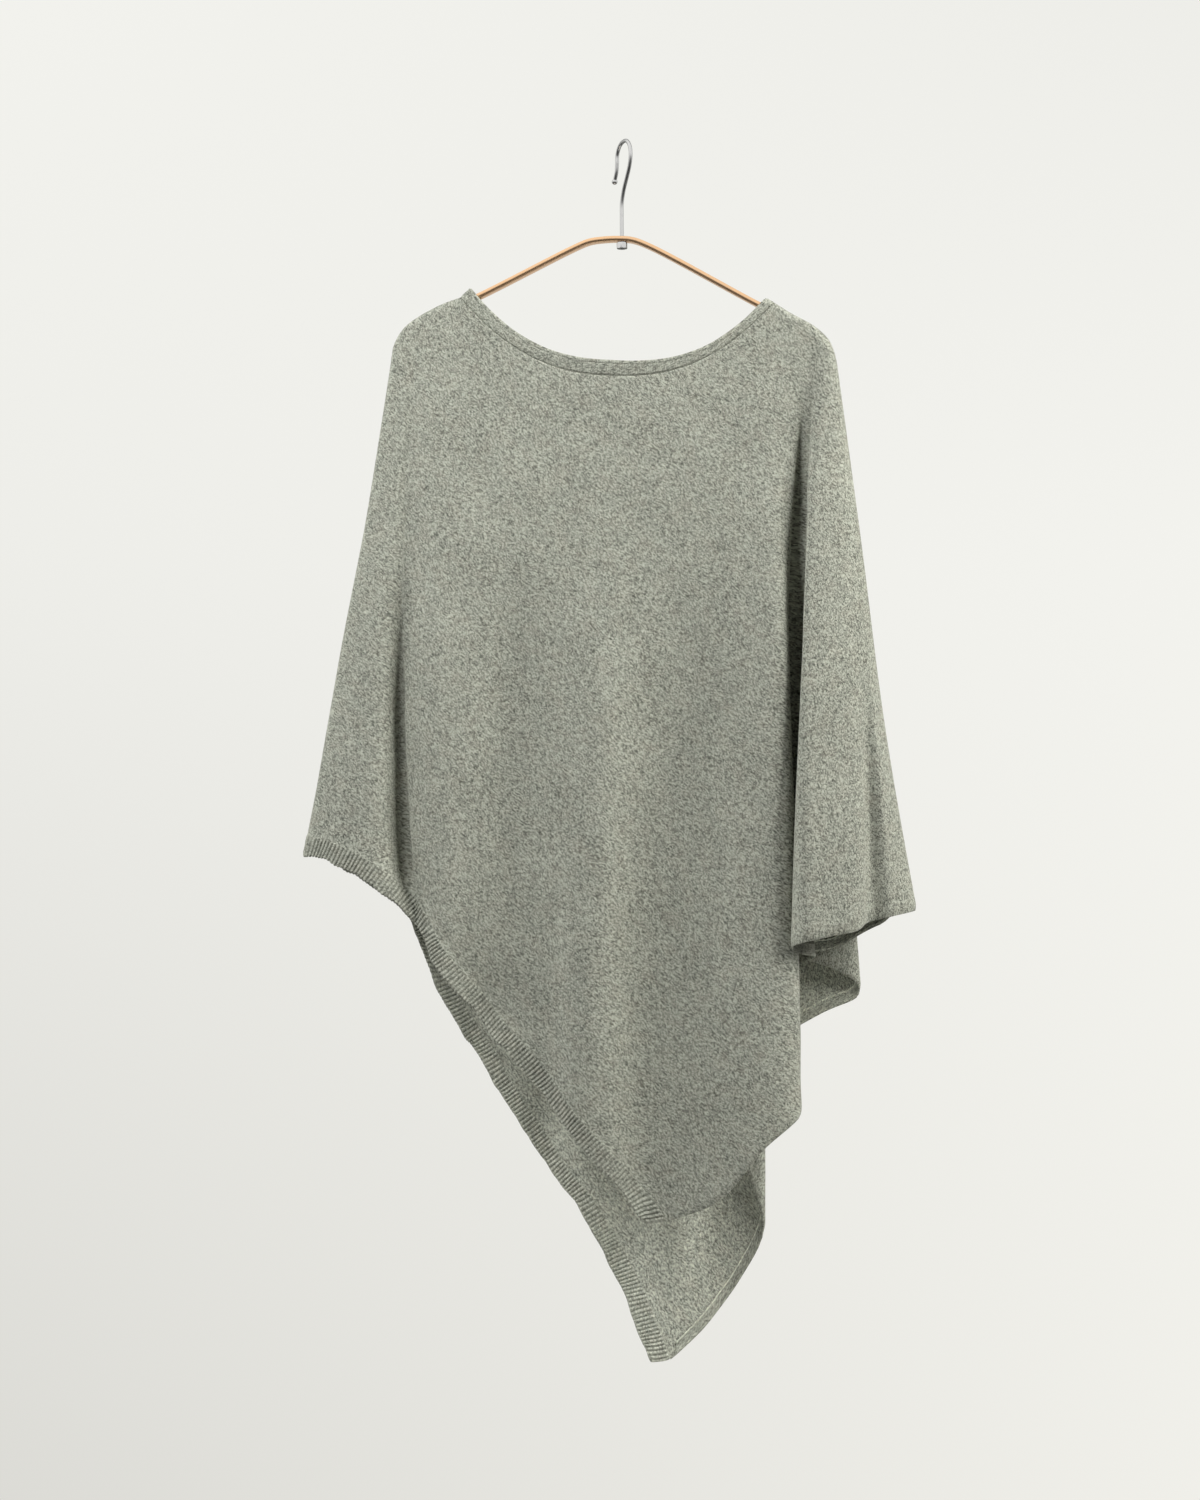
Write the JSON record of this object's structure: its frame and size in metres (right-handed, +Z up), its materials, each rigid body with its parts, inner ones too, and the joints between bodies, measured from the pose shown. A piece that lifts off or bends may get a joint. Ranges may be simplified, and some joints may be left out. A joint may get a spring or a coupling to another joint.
{
  "type": "knitted poncho sweater on a bent strip hanger",
  "caption": "Asymmetric knitted poncho with a wide neck, ribbed diagonal hem and pointed front and back, hanging flat on a bent metal strip hanger with a wire hook.",
  "frame": {"origin": "the inside of the hook's crest, where it bears on a rail", "axes": "+Z up, +X along the hanger to the right as seen from the front, -Y towards the viewer of the garment's front"},
  "size_m": [0.5584, 0.1205, 1.114],
  "materials": {
    "knit": "fine melange knit, warm grey-green, matt with a light fuzz",
    "rib": "the same melange yarn, ribbed",
    "copper_strip": "copper-plated, satin",
    "chrome_wire": "bright chrome"
  },
  "bodies": {
    "root": {"front_panel": "knit", "back_panel": "knit", "front_rib_hem": "rib", "back_rib_hem": "rib", "front_side_band": "rib", "back_side_band": "rib", "neck_band": "rib", "hanger_strip": "copper_strip", "hanger_hook": "chrome_wire", "hanger_nut": "chrome_wire"}
  },
  "joints": []
}
